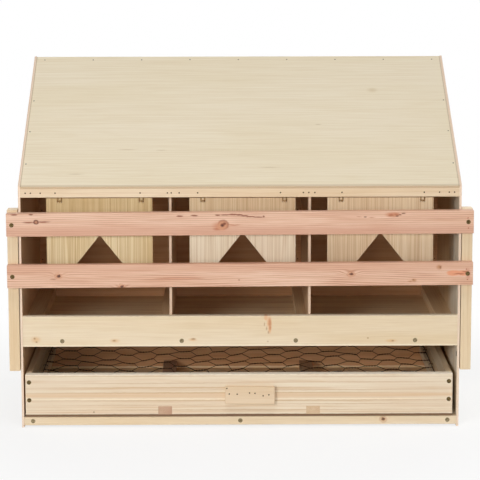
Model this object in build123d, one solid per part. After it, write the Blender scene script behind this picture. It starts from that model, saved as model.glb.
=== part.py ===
from build123d import *
from math import atan2, cos, degrees, radians, sin, tan
import os

# A three-compartment laying nest of plywood and pine, in millimetres.
# X runs along the front, Y from front to back and Z up.
# The pieces are drawn with Y = 0 at the side panels' front edges and moved to the base centre at the end.

# Case
box_width = 886.0
box_depth = 440.0
front_height = 494.0
roof_rise = 224.0
panel_thickness = 4.5
divider_thickness = 5.0
divider_from_centre = 140.0
wood_ease = 0.6

# Roof strip and battens under the roof
strip_depth = 18.0
strip_drop = 22.5
roof_batten_height = 18.0
roof_batten_width = 12.0

# Nest front board, floor and cleats
lip_bottom = 167.2
lip_height = 62.2
lip_thickness = 18.0
bearer_width = 18.0
bearer_height = 16.0
bearer_places = (-359.0, -118.0, 112.0, 353.0)
lip_screw_below_floor = 4.5
ledger_size = 18.0
floor_thickness = 4.5
egg_slot = 60.0
cleat_height = 22.0
side_cleat_width = 34.0
divider_cleat_width = 20.0

# Base rails and drawer runners
base_rail_gap = 4.5
base_rail_height = 17.5
base_rail_depth = 18.0
runner_width = 36.0
runner_height = 23.0

# Drawer
drawer_left_gap = 3.5
drawer_right_gap = 8.5
drawer_proud = 2.0
drawer_back_gap = 1.0
drawer_top = 109.5
drawer_front_thickness = 20.0
drawer_board_thickness = 12.0
drawer_floor_thickness = 3.5
slide_clearance = 0.3
drawer_batten_width = 28.0
drawer_batten_height = 17.0
drawer_batten_from_centre = 150.0
net_level = 78.0
net_ledge_width = 18.0
net_ledge_height = 16.0
net_side_margin = 10.0
net_end_margin = 4.0
net_wire = 1.6
net_mesh = 70.0
net_column_pitch = 40.0
net_twist = 28.0
smallest_net_gap = 60.0
handle_length = 100.0
handle_height = 35.0
handle_thickness = 12.0
handle_from_centre = 22.0
handle_level = 68.0
handle_tilt = 0.7

# Flaps and their wire hangers
flap_width = 212.5
flap_thickness = 5.0
flap_bottom = 299.0
flap_side_shift = 8.8
flap_middle_shift = 5.0
left_notch_apex = 393.5
middle_notch_apex = 398.5
right_notch_apex = 398.0
notch_half_angle = 38.5
hanger_wire = 1.2
hanger_width = 7.4
hanger_drop = 9.4
hanger_bend = 2.8
staple_bend = 1.4
hanger_depth_in_strip = 9.0
hanger_from_flap_edge = 24.5
hanger_shift = 2.5
hanger_setback = 9.0
hanger_to_flap = 1.5
moving_clearance = 0.3
flap_top_gap = 3.1
kerf_clearance = 0.6
kerf_below_axis = 2.0
staple_height = 3.2
staple_reach = 3.6

# Perch
rail_height = 46.3
rail_thickness = 18.0
lower_rail_bottom = 293.0
upper_rail_bottom = 397.5
rail_tilt = 0.26
perch_gap = 0.3
arm_depth = 30.0
arm_width = 21.4
arm_above_rail = 3.0
arm_side_gap = 1.6
arm_bottom = 117.5
pivot_above_arm_end = 30.0
perch_open_angle = 80.0
stop_along_arm = 20.0

# Fasteners
screw_head_diameter = 9.0
screw_head_height = 3.2
screw_diameter = 3.8
screw_length = 34.0
screw_recess_width = 1.4
screw_recess_length = 5.4
screw_recess_depth = 1.6
nail_head_diameter = 3.0
nail_head_height = 0.6
nail_diameter = 1.3
nail_length = 16.0
driven_room = 0.02
bolt_diameter = 6.0
bolt_head_diameter = 12.0
bolt_head_height = 3.0
bolt_clearance = 0.1
nut_across_flats = 10.0
nut_height = 5.0
nut_clearance = 0.5
washer_diameter = 18.0
washer_thickness = 1.2
stop_diameter = 10.0
stop_length = 14.0
net_staple_width = 8.0
net_staple_wire = 1.0
net_staple_leg = 7.0
net_staple_meshes = 2

# Fastener places
strip_end_nails = (10.0, 20.5, 40.0)
left_divider_nails = (-4.9, 2.8, 18.6)
right_divider_nails = (-13.5, -2.6, 9.4)
nails_from_hangers = (-8.0, -1.9, -10.2, -8.4, 1.2, 2.0)
roof_nail_pitch = 105.0
handle_nail_places = (
    (-47.0, 14.5), (-42.0, 3.1), (-26.0, 2.8), (-1.0, 5.5), (10.0, 4.9), (26.5, 0.0), (38.0, 2.1),
)
drawer_screw_from_end = 7.5
drawer_screw_upper = 94.0
drawer_screw_lower = 57.0

# Levels and lines worked out from the sizes above
roof_angle = degrees(atan2(roof_rise, box_depth))
roof_slope = tan(radians(roof_angle))
roof_fall = panel_thickness / cos(radians(roof_angle))
roof_overhang = panel_thickness * sin(radians(roof_angle))
half_inside = box_width / 2 - panel_thickness
half_outside = box_width / 2
back_inside = box_depth - panel_thickness
strip_bottom = front_height - strip_drop
strip_middle = strip_bottom + (strip_drop - roof_fall) / 2
lip_top = lip_bottom + lip_height
bearer_top = lip_bottom + bearer_height
floor_top = bearer_top + floor_thickness
floor_front = lip_thickness + egg_slot
roof_batten_back = back_inside - roof_batten_height
base_rail_top = base_rail_gap + base_rail_height
drawer_bottom = runner_height + slide_clearance
drawer_floor_top = drawer_bottom + drawer_floor_thickness
drawer_left = -half_inside + drawer_left_gap
drawer_right = half_inside - drawer_right_gap
drawer_middle = (drawer_left + drawer_right) / 2
drawer_face = -drawer_proud
drawer_front_back = drawer_face + drawer_front_thickness
drawer_end = back_inside - drawer_back_gap
drawer_inner_end = drawer_end - drawer_board_thickness
drawer_inner_left = drawer_left + drawer_board_thickness
drawer_inner_right = drawer_right - drawer_board_thickness
axis_y = hanger_setback
axis_z = strip_bottom - hanger_drop
flap_front = axis_y + hanger_to_flap
flap_back = flap_front + flap_thickness
flap_top = strip_bottom - flap_top_gap
compartment_centre = (half_inside + divider_from_centre + divider_thickness / 2) / 2
flap_centres = {
    "left": -compartment_centre + flap_side_shift,
    "middle": flap_middle_shift,
    "right": compartment_centre - flap_side_shift,
}
notch_apexes = {
    "left": left_notch_apex,
    "middle": middle_notch_apex,
    "right": right_notch_apex,
}
hanger_offset = flap_width / 2 - hanger_from_flap_edge
rail_front = -perch_gap - rail_thickness
rail_back = -perch_gap
arm_inner = half_outside + arm_side_gap
arm_outer = arm_inner + arm_width
arm_middle = (arm_inner + arm_outer) / 2
arm_top = upper_rail_bottom + rail_height + arm_above_rail
arm_front = rail_back
arm_back = arm_front + arm_depth
pivot_y = (arm_front + arm_back) / 2
pivot_z = arm_bottom + pivot_above_arm_end
front_y = -(box_depth + rail_front) / 2

parts = {}


# Shared shapes

def board(x0, x1, y0, y1, z0, z1):
    """A square-cut piece between two corners."""
    middle = Pos((x0 + x1) / 2, (y0 + y1) / 2, (z0 + z1) / 2)
    return middle * Box(x1 - x0, y1 - y0, z1 - z0)


def eased_board(x0, x1, y0, y1, z0, z1):
    """A planed batten or board with its sharp edges taken off."""
    plain = board(x0, x1, y0, y1, z0, z1)
    return chamfer(plain.edges(), wood_ease)


def side_profile(x0, x1, outline):
    """A piece with the same outline, seen from the side, all along X."""
    face = make_face(Polyline([(x0, y, z) for y, z in outline], close=True))
    return extrude(face, amount=x1 - x0, dir=(1, 0, 0))


def roof_top(y):
    return front_height + y * roof_slope


def roof_under(y):
    return roof_top(y) - roof_fall


def group(solids):
    """Loose pieces that share one node."""
    return Compound([piece.solid() for piece in solids])


def screw_blank(room=0.0):
    """Countersunk wood screw without its recess, head flush at Z = 0, point down."""
    tip = screw_diameter * 1.5
    radius = screw_diameter / 2 + room
    outline = [
        (0, 0),
        (screw_head_diameter / 2 + room, 0),
        (radius, -screw_head_height),
        (radius, tip - screw_length),
        (screw_diameter / 10 + room, -screw_length - room),
        (0, -screw_length - room),
    ]
    half = make_face(Polyline([(x, 0, z) for x, z in outline], close=True))
    return revolve(half, Axis.Z)


def screw_recess():
    """Cross recess for the driver."""
    arm = Box(screw_recess_length, screw_recess_width, screw_recess_depth * 2)
    return arm + Rot(0, 0, 90) * arm


def nail_blank(room=0.0):
    """Brad with a small flat head, flush at Z = 0, point down."""
    outline = [
        (0, 0),
        (nail_head_diameter / 2 + room, 0),
        (nail_head_diameter / 2 + room, -nail_head_height),
        (nail_diameter / 2 + room, -nail_head_height),
        (nail_diameter / 2 + room, -nail_length - room),
        (0, -nail_length - room),
    ]
    half = make_face(Polyline([(x, 0, z) for x, z in outline], close=True))
    return revolve(half, Axis.Z)


def wire_staple(points, wire, bend):
    """Round wire bent along the points."""
    path = FilletPolyline(*points, radius=bend)
    section = Plane(origin=path @ 0, z_dir=path % 0) * Circle(wire / 2)
    return sweep(section, path=path)


facing_front = Rot(90, 0, 0)
screw = screw_blank() - screw_recess()
screw_hole = screw_blank(driven_room)
nail = nail_blank()
nail_hole = nail_blank(driven_room)


def front_screws(places, face_y):
    """Screws driven from the front at (x, z) places: the screws and their holes."""
    spots = [Pos(x, face_y, z) * facing_front for x, z in places]
    return [spot * screw for spot in spots], [spot * screw_hole for spot in spots]


def driven_nails(spots):
    """Nails driven down at the spots: the nails and their holes."""
    return [spot * nail for spot in spots], [spot * nail_hole for spot in spots]


def drill(names, tools):
    """Cut the tools out of the named pieces."""
    for name in names:
        parts[name] = parts[name] - tools


# Case panels

panel_outline = [(0, 0), (box_depth, 0), (box_depth, roof_top(box_depth)), (0, front_height)]
parts["left_side_panel"] = side_profile(-half_outside, -half_inside, panel_outline)
parts["right_side_panel"] = side_profile(half_inside, half_outside, panel_outline)

back_outline = [
    (back_inside, 0),
    (box_depth, 0),
    (box_depth, roof_under(box_depth)),
    (back_inside, roof_under(back_inside)),
]
parts["back_panel"] = side_profile(-half_inside, half_inside, back_outline)

roof_back_edge = box_depth - roof_overhang
roof_outline = [
    (-roof_overhang, roof_top(-roof_overhang)),
    (0, roof_under(0)),
    (box_depth, roof_under(box_depth)),
    (roof_back_edge, roof_top(roof_back_edge)),
]
parts["roof_panel"] = side_profile(-half_inside, half_inside, roof_outline)

strip_outline = [
    (0, strip_bottom),
    (strip_depth, strip_bottom),
    (strip_depth, roof_under(strip_depth)),
    (0, roof_under(0)),
]
parts["roof_front_strip"] = side_profile(-half_inside, half_inside, strip_outline)

back_batten_low = roof_under(roof_batten_back) - roof_batten_height
back_batten_outline = [
    (roof_batten_back, back_batten_low),
    (back_inside, back_batten_low),
    (back_inside, roof_under(back_inside)),
    (roof_batten_back, roof_under(roof_batten_back)),
]
parts["roof_back_batten"] = side_profile(-half_inside, half_inside, back_batten_outline)

side_batten_outline = [
    (strip_depth, roof_under(strip_depth) - roof_batten_height),
    (roof_batten_back, roof_under(roof_batten_back) - roof_batten_height),
    (roof_batten_back, roof_under(roof_batten_back)),
    (strip_depth, roof_under(strip_depth)),
]
parts["left_roof_batten"] = side_profile(
    -half_inside, -half_inside + roof_batten_width, side_batten_outline
)
parts["right_roof_batten"] = side_profile(
    half_inside - roof_batten_width, half_inside, side_batten_outline
)

# Nest front board, floor on its bearers, dividers and cleats

parts["nest_front_board"] = eased_board(
    -half_inside, half_inside, 0, lip_thickness, lip_bottom, lip_top
)
for number, x in enumerate(bearer_places, start=1):
    parts[f"floor_bearer_{number}"] = board(
        x - bearer_width / 2, x + bearer_width / 2, lip_thickness, back_inside, lip_bottom, bearer_top
    )
parts["back_floor_ledger"] = board(
    -half_inside, half_inside, back_inside - ledger_size, back_inside, lip_bottom - ledger_size, lip_bottom
)
parts["nest_floor"] = board(-half_inside, half_inside, floor_front, back_inside, bearer_top, floor_top)

divider_outline = [
    (floor_front, floor_top),
    (back_inside, floor_top),
    (back_inside, back_batten_low),
    (roof_batten_back, back_batten_low),
    (roof_batten_back, roof_under(roof_batten_back)),
    (strip_depth, roof_under(strip_depth)),
    (strip_depth, lip_bottom + bearer_height),
    (floor_front, lip_bottom + bearer_height),
]
cleat_top = floor_top + cleat_height
for side, x in (("left", -divider_from_centre), ("right", divider_from_centre)):
    left_face = x - divider_thickness / 2
    parts[f"{side}_divider"] = side_profile(left_face, left_face + divider_thickness, divider_outline)
    parts[f"{side}_divider_cleat"] = eased_board(
        left_face - divider_cleat_width, left_face, floor_front, back_inside, floor_top, cleat_top
    )
parts["left_floor_cleat"] = eased_board(
    -half_inside, -half_inside + side_cleat_width, floor_front, back_inside, floor_top, cleat_top
)
parts["right_floor_cleat"] = eased_board(
    half_inside - side_cleat_width, half_inside, floor_front, back_inside, floor_top, cleat_top
)

# Base rails and drawer runners

parts["bottom_front_rail"] = eased_board(
    -half_inside, half_inside, 0, base_rail_depth, base_rail_gap, base_rail_top
)
parts["bottom_back_rail"] = eased_board(
    -half_inside, half_inside, back_inside - base_rail_depth, back_inside, base_rail_gap, base_rail_top
)
runner_places = {
    "left": -half_inside + runner_width / 2,
    "centre": 0.0,
    "right": half_inside - runner_width / 2,
}
for side, x in runner_places.items():
    parts[f"{side}_runner"] = board(
        x - runner_width / 2,
        x + runner_width / 2,
        base_rail_depth,
        back_inside - base_rail_depth,
        0,
        runner_height,
    )

# Screws of the nest front board and of the bottom rail

lip_level = bearer_top - lip_screw_below_floor
lip_screws, lip_holes = front_screws([(x, lip_level) for x in bearer_places], 0)
drill(["nest_front_board"] + [f"floor_bearer_{number}" for number in range(1, 5)], lip_holes)

base_level = (base_rail_gap + base_rail_top) / 2
rail_screws, rail_holes = front_screws([(x, base_level) for x in runner_places.values()], 0)
drill(["bottom_front_rail"] + [f"{side}_runner" for side in runner_places], rail_holes)
parts["case_screws"] = group(lip_screws + rail_screws)

# Flaps hung on wire staples under the roof strip

hanger_places = [
    centre + hanger_shift + side * hanger_offset for centre in flap_centres.values() for side in (-1, 1)
]
leg_top = strip_bottom + hanger_depth_in_strip
half_hanger = hanger_width / 2
hanger = wire_staple(
    [
        (-half_hanger, axis_y, leg_top),
        (-half_hanger, axis_y, axis_z),
        (half_hanger, axis_y, axis_z),
        (half_hanger, axis_y, leg_top),
    ],
    hanger_wire,
    hanger_bend,
)
hangers = [Pos(x, 0, 0) * hanger for x in hanger_places]
drill(["roof_front_strip"], hangers)
parts["flap_hangers"] = group(hangers)

staple_upper = axis_z + hanger_wire + moving_clearance
staple_lower = staple_upper - staple_height
staple_inside = flap_front + flap_thickness * 0.8
staple_front = axis_y - staple_reach
flap_staple = wire_staple(
    [
        (0, staple_inside, staple_upper),
        (0, staple_front, staple_upper),
        (0, staple_front, staple_lower),
        (0, staple_inside, staple_lower),
    ],
    hanger_wire,
    staple_bend,
)
kerf_width = hanger_wire + 2 * kerf_clearance
kerf_bottom = axis_z - kerf_below_axis
for side, centre in flap_centres.items():
    notch_apex = notch_apexes[side]
    notch_half_base = (notch_apex - flap_bottom) * tan(radians(notch_half_angle))
    hung_at = [centre + hanger_shift + edge * hanger_offset for edge in (-1, 1)]
    flap_blank = board(
        centre - flap_width / 2, centre + flap_width / 2, flap_front, flap_back, flap_bottom, flap_top
    )
    notch_points = [
        (centre - notch_half_base, flap_front, flap_bottom),
        (centre + notch_half_base, flap_front, flap_bottom),
        (centre, flap_front, notch_apex),
    ]
    notch = extrude(make_face(Polyline(notch_points, close=True)), amount=flap_thickness, dir=(0, 1, 0))
    kerfs = [
        board(
            x + leg * half_hanger - kerf_width / 2,
            x + leg * half_hanger + kerf_width / 2,
            flap_front,
            flap_back,
            kerf_bottom,
            flap_top,
        )
        for x in hung_at
        for leg in (-1, 1)
    ]
    staples = [Pos(x, 0, 0) * flap_staple for x in hung_at]
    parts[f"{side}_flap"] = flap_blank - notch - kerfs - staples
    parts[f"{side}_flap_staples"] = group(staples)

# Nails in the roof strip and the roof

strip_nail_x = [-half_inside + from_end for from_end in strip_end_nails]
strip_nail_x += [half_inside - from_end for from_end in strip_end_nails]
strip_nail_x += [-divider_from_centre + aside for aside in left_divider_nails]
strip_nail_x += [divider_from_centre + aside for aside in right_divider_nails]
strip_nail_x += [x + aside for x, aside in zip(hanger_places, nails_from_hangers)]
strip_spots = [Pos(x, 0, strip_middle) * facing_front for x in strip_nail_x]
strip_nails, strip_nail_holes = driven_nails(strip_spots)
drill(["roof_front_strip"], strip_nail_holes)


def roof_spot(x, y):
    """A place on the roof, square to its slope."""
    return Pos(x, y, roof_top(y)) * Rot(roof_angle, 0, 0)


back_row_y = back_inside - roof_batten_height / 2
back_row_count = int((2 * half_inside - 2 * roof_batten_width) // roof_nail_pitch)
back_row = [
    roof_spot(roof_nail_pitch * (number - back_row_count / 2), back_row_y)
    for number in range(back_row_count + 1)
]
side_row_count = int((roof_batten_back - strip_depth) // roof_nail_pitch)
side_rows = [
    roof_spot(side * (half_inside - roof_batten_width / 2), strip_depth + roof_nail_pitch * (number + 0.5))
    for side in (-1, 1)
    for number in range(side_row_count)
]
roof_nails, roof_nail_holes = driven_nails(back_row + side_rows)
drill(["roof_panel", "roof_back_batten", "left_roof_batten", "right_roof_batten"], roof_nail_holes)
parts["roof_nails"] = group(strip_nails + roof_nails)

# Perch: two rails screwed to arms that turn on bolts in the side panels

rail_levels = {
    "lower": lower_rail_bottom + rail_height / 2,
    "upper": upper_rail_bottom + rail_height / 2,
}
rail_blank = eased_board(-arm_outer, arm_outer, rail_front, rail_back, -rail_height / 2, rail_height / 2)
for name, level in rail_levels.items():
    parts[f"{name}_perch_rail"] = Pos(0, 0, level) * Rot(0, -rail_tilt, 0) * rail_blank
bore_radius = bolt_diameter / 2 + bolt_clearance
recess_radius = nut_across_flats / 3 ** 0.5 + nut_clearance
recess_floor = arm_outer - nut_height - 2 * nut_clearance


def along_x(x0, x1, radius):
    """A round bar from x0 to x1 on the perch pivot."""
    return Pos((x0 + x1) / 2, pivot_y, pivot_z) * Rot(0, 90, 0) * Cylinder(radius, x1 - x0)


right_arm = eased_board(arm_inner, arm_outer, arm_front, arm_back, arm_bottom, arm_top)
right_arm = right_arm - along_x(arm_inner, arm_outer, bore_radius)
right_arm = right_arm - along_x(recess_floor, arm_outer, recess_radius)
parts["right_perch_arm"] = right_arm
parts["left_perch_arm"] = mirror(right_arm, Plane.YZ)

screw_rise = arm_middle * tan(radians(rail_tilt))
perch_places = [
    (side * arm_middle, level + side * screw_rise) for side in (-1, 1) for level in rail_levels.values()
]
perch_screws, perch_holes = front_screws(perch_places, rail_front)
drill(["lower_perch_rail", "upper_perch_rail", "left_perch_arm", "right_perch_arm"], perch_holes)
parts["perch_screws"] = group(perch_screws)

nut_outside = recess_floor + nut_clearance + nut_height


def pivot_bolt_blank(room=0.0):
    """Countersunk bolt along X, flush inside the right panel."""
    head = Pos(half_inside + bolt_head_height / 2, pivot_y, pivot_z) * Rot(0, 90, 0) * Cone(
        bolt_head_diameter / 2 + room, bolt_diameter / 2 + room, bolt_head_height
    )
    return head + along_x(half_inside, nut_outside, bolt_diameter / 2 + room)


def nut_at(x, y, z, hole):
    """Hexagon nut along X with its near face at x."""
    face = Plane(origin=(x, y, z), z_dir=(1, 0, 0))
    hexagon = RegularPolygon(nut_across_flats / 2, 6, major_radius=False)
    return extrude(face * hexagon, amount=nut_height) - hole


def both_sides(piece):
    """A piece of the right side and its mirror image on the left."""
    return [piece, mirror(piece, Plane.YZ)]


pivot_bolt = pivot_bolt_blank()
pivot_hole = pivot_bolt_blank(driven_room)
washer_blank = along_x(half_outside, half_outside + washer_thickness, washer_diameter / 2)
pivot_washer = washer_blank - pivot_hole
pivot_nut = nut_at(recess_floor + nut_clearance, pivot_y, pivot_z, pivot_hole)

# Stop bolts: the tails of the folded arms come up under these

open_turn = radians(perch_open_angle)
stop_from_arm = arm_depth / 2 + stop_diameter / 2 + moving_clearance
stop_y = pivot_y + stop_along_arm * sin(open_turn) + stop_from_arm * cos(open_turn)
stop_z = pivot_z - stop_along_arm * cos(open_turn) + stop_from_arm * sin(open_turn)
at_stop = Pos(0, stop_y - pivot_y, stop_z - pivot_z)
stop_sleeve = along_x(half_outside, half_outside + stop_length, stop_diameter / 2)
stop_shank = along_x(half_inside - nut_height, half_outside, bolt_diameter / 2)
stop_bolt = at_stop * (stop_sleeve + stop_shank)
stop_hole = at_stop * along_x(half_inside - nut_height, half_outside, bolt_diameter / 2 + driven_room)
stop_nut = nut_at(half_inside - nut_height, stop_y, stop_z, stop_hole)
drill(["left_side_panel", "right_side_panel"], both_sides(pivot_hole) + both_sides(stop_hole))
parts["pivot_bolts"] = group(both_sides(pivot_bolt))
parts["pivot_washers"] = group(both_sides(pivot_washer))
parts["bolt_nuts"] = group(both_sides(pivot_nut) + both_sides(stop_nut))
parts["stop_bolts"] = group(both_sides(stop_bolt))

# Drawer box

parts["drawer_front"] = eased_board(
    drawer_left, drawer_right, drawer_face, drawer_front_back, drawer_floor_top, drawer_top
)
parts["left_drawer_side"] = eased_board(
    drawer_left, drawer_inner_left, drawer_front_back, drawer_end, drawer_floor_top, drawer_top
)
parts["right_drawer_side"] = eased_board(
    drawer_inner_right, drawer_right, drawer_front_back, drawer_end, drawer_floor_top, drawer_top
)
parts["drawer_back"] = eased_board(
    drawer_inner_left, drawer_inner_right, drawer_inner_end, drawer_end, drawer_floor_top, drawer_top
)
parts["drawer_floor"] = board(
    drawer_left, drawer_right, drawer_face, drawer_end, drawer_bottom, drawer_floor_top
)
drawer_battens = []
for side, sign in (("left", -1), ("right", 1)):
    x = drawer_middle + sign * drawer_batten_from_centre
    batten = board(
        x - drawer_batten_width / 2,
        x + drawer_batten_width / 2,
        drawer_face,
        drawer_end,
        drawer_floor_top,
        drawer_floor_top + drawer_batten_height,
    )
    drawer_battens.append(batten)
    parts[f"{side}_drawer_batten"] = batten
drill(["drawer_front", "drawer_back"], drawer_battens)

drawer_screw_x = [drawer_left + drawer_screw_from_end, drawer_right - drawer_screw_from_end]
drawer_places = [(x, z) for x in drawer_screw_x for z in (drawer_screw_lower, drawer_screw_upper)]
drawer_screws, drawer_holes = front_screws(drawer_places, drawer_face)
drill(["drawer_front", "left_drawer_side", "right_drawer_side"], drawer_holes)
parts["drawer_screws"] = group(drawer_screws)

handle_x = drawer_middle + handle_from_centre
handle_face = drawer_face - handle_thickness
handle_spot = Pos(handle_x, 0, handle_level) * Rot(0, handle_tilt, 0)
handle = handle_spot * eased_board(
    -handle_length / 2, handle_length / 2, handle_face, drawer_face, -handle_height / 2, handle_height / 2
)
handle_spots = [handle_spot * Pos(x, handle_face, z) * facing_front for x, z in handle_nail_places]
handle_nails, handle_nail_holes = driven_nails(handle_spots)
parts["drawer_handle"] = handle
drill(["drawer_handle", "drawer_front"], handle_nail_holes)
parts["handle_nails"] = group(handle_nails)

# Hexagonal wire netting on ledges inside the drawer

ledge_bottom = net_level - net_ledge_height
parts["left_net_ledge"] = board(
    drawer_inner_left,
    drawer_inner_left + net_ledge_width,
    drawer_front_back,
    drawer_inner_end,
    ledge_bottom,
    net_level,
)
parts["right_net_ledge"] = board(
    drawer_inner_right - net_ledge_width,
    drawer_inner_right,
    drawer_front_back,
    drawer_inner_end,
    ledge_bottom,
    net_level,
)
for name, y0 in (("front", drawer_front_back), ("back", drawer_inner_end - net_ledge_width)):
    parts[f"{name}_net_ledge"] = board(
        drawer_inner_left + net_ledge_width,
        drawer_inner_right - net_ledge_width,
        y0,
        y0 + net_ledge_width,
        ledge_bottom,
        net_level,
    )

net_left = drawer_inner_left + net_side_margin
net_right = drawer_inner_right - net_side_margin
net_front = drawer_front_back + net_end_margin
net_back = drawer_inner_end - net_end_margin
net_middle = Pos((net_left + net_right) / 2, (net_front + net_back) / 2, 0)
net_width = net_right - net_left
net_depth = net_back - net_front


def netting_gaps():
    """Hexagonal gaps between the wires, trimmed by the border wires."""
    tip = net_column_pitch - net_twist / 2
    corner = net_twist / 2
    half_mesh = net_mesh / 2
    cell = make_face(Polyline(
        (-tip, 0), (-corner, -half_mesh), (corner, -half_mesh), (tip, 0), (corner, half_mesh), (-corner, half_mesh),
        close=True,
    ))
    gap = offset(cell, amount=-net_wire / 2, kind=Kind.INTERSECTION)
    inside = Rectangle(net_width - 2 * net_wire, net_depth - 2 * net_wire)
    columns = int(net_width / 2 // net_column_pitch) + 1
    rows = int(net_depth / 2 // net_mesh) + 1
    gaps = []
    for column in range(-columns, columns + 1):
        for row in range(-rows, rows + 1):
            shift = half_mesh if column % 2 else 0
            trimmed = inside & (Pos(column * net_column_pitch, row * net_mesh + shift) * gap)
            gaps += [face for face in trimmed.faces() if face.area > smallest_net_gap]
    return gaps


net_outline = Rectangle(net_width, net_depth).face().outer_wire()
gaps = netting_gaps()
net_face = Face(net_outline, [face.outer_wire() for face in gaps])
parts["egg_netting"] = net_middle * Pos(0, 0, net_level) * extrude(net_face, amount=net_wire, dir=(0, 0, 1))
print("netting gaps:", len(gaps))

staple_top = net_level + net_wire + net_staple_wire / 2
half_staple = net_staple_width / 2


def net_staple_blank(room=0.0):
    """Fine staple across a border wire, along X."""
    leg_end = staple_top - net_staple_leg - room
    return wire_staple(
        [
            (-half_staple, 0, leg_end),
            (-half_staple, 0, staple_top),
            (half_staple, 0, staple_top),
            (half_staple, 0, leg_end),
        ],
        net_staple_wire + 2 * room,
        net_staple_wire,
    )


# Staples stand in whole gaps of the column of gaps nearest to the border

end_column = round((net_width / 2 - half_staple) / net_column_pitch)
end_row_shift = net_mesh / 2 if end_column % 2 else 0.0
staple_pitch = net_staple_meshes * net_mesh
staple_count = int((net_depth / 2 - end_row_shift) // staple_pitch)
staple_spots = [
    Pos(x, (net_front + net_back) / 2 + end_row_shift + number * staple_pitch, 0)
    for x in (net_left + net_wire / 2, net_right - net_wire / 2)
    for number in range(-staple_count, staple_count + 1)
]
net_staple = net_staple_blank()
net_staple_hole = net_staple_blank(driven_room)
drill(["left_net_ledge", "right_net_ledge"], [spot * net_staple_hole for spot in staple_spots])
parts["netting_staples"] = group([spot * net_staple for spot in staple_spots])

# One file for each piece, with the origin under the middle of the base

os.makedirs("parts", exist_ok=True)
for name, piece in parts.items():
    export_step(Pos(0, front_y, 0) * piece, f"parts/{name}.step")
print("pieces:", len(parts))
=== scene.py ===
import math
import random

import bpy
from mathutils import Matrix, Vector


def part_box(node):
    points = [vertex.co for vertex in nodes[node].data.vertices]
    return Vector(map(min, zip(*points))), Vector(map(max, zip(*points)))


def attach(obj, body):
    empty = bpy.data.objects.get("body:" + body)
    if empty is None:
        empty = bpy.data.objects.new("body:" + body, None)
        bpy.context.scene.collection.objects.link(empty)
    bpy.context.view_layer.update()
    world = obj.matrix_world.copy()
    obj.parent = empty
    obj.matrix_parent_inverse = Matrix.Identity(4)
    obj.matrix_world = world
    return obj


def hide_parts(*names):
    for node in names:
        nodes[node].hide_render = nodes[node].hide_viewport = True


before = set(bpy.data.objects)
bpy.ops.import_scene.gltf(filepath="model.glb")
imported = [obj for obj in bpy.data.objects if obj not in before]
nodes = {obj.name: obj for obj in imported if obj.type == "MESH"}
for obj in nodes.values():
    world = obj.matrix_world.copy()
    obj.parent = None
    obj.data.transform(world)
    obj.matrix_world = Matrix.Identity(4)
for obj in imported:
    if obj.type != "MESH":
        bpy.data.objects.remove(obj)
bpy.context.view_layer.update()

mm = 0.001
white = (1.0, 1.0, 1.0, 1.0)


def hexColour(text):
    channels = [int(text[i:i + 2], 16) / 255 for i in (1, 3, 5)]
    linear = [c / 12.92 if c <= 0.04045 else ((c + 0.055) / 1.055) ** 2.4 for c in channels]
    return (*linear, 1.0)


def addNode(tree, kind, settings=None, links=None, ramp=None):
    made = tree.nodes.new("ShaderNode" + kind)
    for name, value in (settings or {}).items():
        setattr(made, name, value)
    for name, value in (links or {}).items():
        if isinstance(value, bpy.types.Node):
            value = value.outputs[0]
        if isinstance(value, bpy.types.NodeSocket):
            tree.links.new(value, made.inputs[name])
        else:
            made.inputs[name].default_value = value
    if ramp:
        stops = made.color_ramp.elements
        while len(stops) < len(ramp):
            stops.new(1.0)
        for stop, (position, colour) in zip(stops, ramp):
            stop.position = position
            stop.color = colour
    return made


def newFinish(name):
    finish = bpy.data.materials.new(name)
    finish.use_nodes = True
    finish.node_tree.nodes.clear()
    return finish, finish.node_tree


def greyStop(position, level):
    return position, (level, level, level, 1.0)


# patches drawn out along the grain, of the given length and width in mm, from their own part of the log
def grainPattern(tree, place, axis, size, cut, detail, roughness=0.5):
    patchLong, patchWide = size
    scale = [1000 / patchWide] * 3
    scale[axis] = 1000 / patchLong
    stretched = addNode(tree, "Mapping", {}, {"Vector": place, "Location": cut, "Scale": scale})
    return addNode(tree, "TexNoise", {}, {
        "Vector": stretched, "Scale": 1.0, "Detail": detail, "Roughness": roughness})


# a stain, streak or edge band, or a band of painted light or shade: its colour, its strength, how much of its
# radius is at full strength, and its spots, each a centre and two half sizes in mm on the board's face
def stainOrPaintedLight(tone, depth, core, *spots):
    return {"tone": tone, "depth": depth, "core": core, "spots": spots}


# how far a point lies from the nearest of a few spots on the board's face, in spot radii
def nearestSpot(tree, place, spots, face):
    nearest = None
    for along, up, halfLong, halfTall in spots:
        scale = [0.0, 0.0, 0.0]
        shift = [0.0, 0.0, 0.0]
        for axis, centre, half in ((face[0], along, halfLong), (face[1], up, halfTall)):
            scale[axis] = 1000 / half
            shift[axis] = -centre / half
        offset = addNode(tree, "VectorMath", {"operation": "MULTIPLY_ADD"}, {0: place, 1: scale, 2: shift})
        distance = addNode(tree, "VectorMath", {"operation": "LENGTH"}, {0: offset}).outputs["Value"]
        if nearest is None:
            nearest = distance
        else:
            nearest = addNode(tree, "Math", {"operation": "MINIMUM"}, {0: nearest, 1: distance}).outputs[0]
    return nearest


# each mark in turn over the colour below it
def layMarks(tree, colour, place, look, blend):
    for mark in look["marks"]:
        shown = addNode(tree, "MapRange", {"interpolation_type": "SMOOTHSTEP"}, {
            "Value": nearestSpot(tree, place, mark["spots"], look["face"]),
            "From Min": mark["core"], "From Max": 1.0, "To Min": mark["depth"], "To Max": 0.0})
        colour = addNode(tree, "Mix", {"data_type": "RGBA", "blend_type": blend}, {
            0: shown.outputs[0], 6: colour, 7: hexColour(mark["tone"])}).outputs[2]
    return colour


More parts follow.
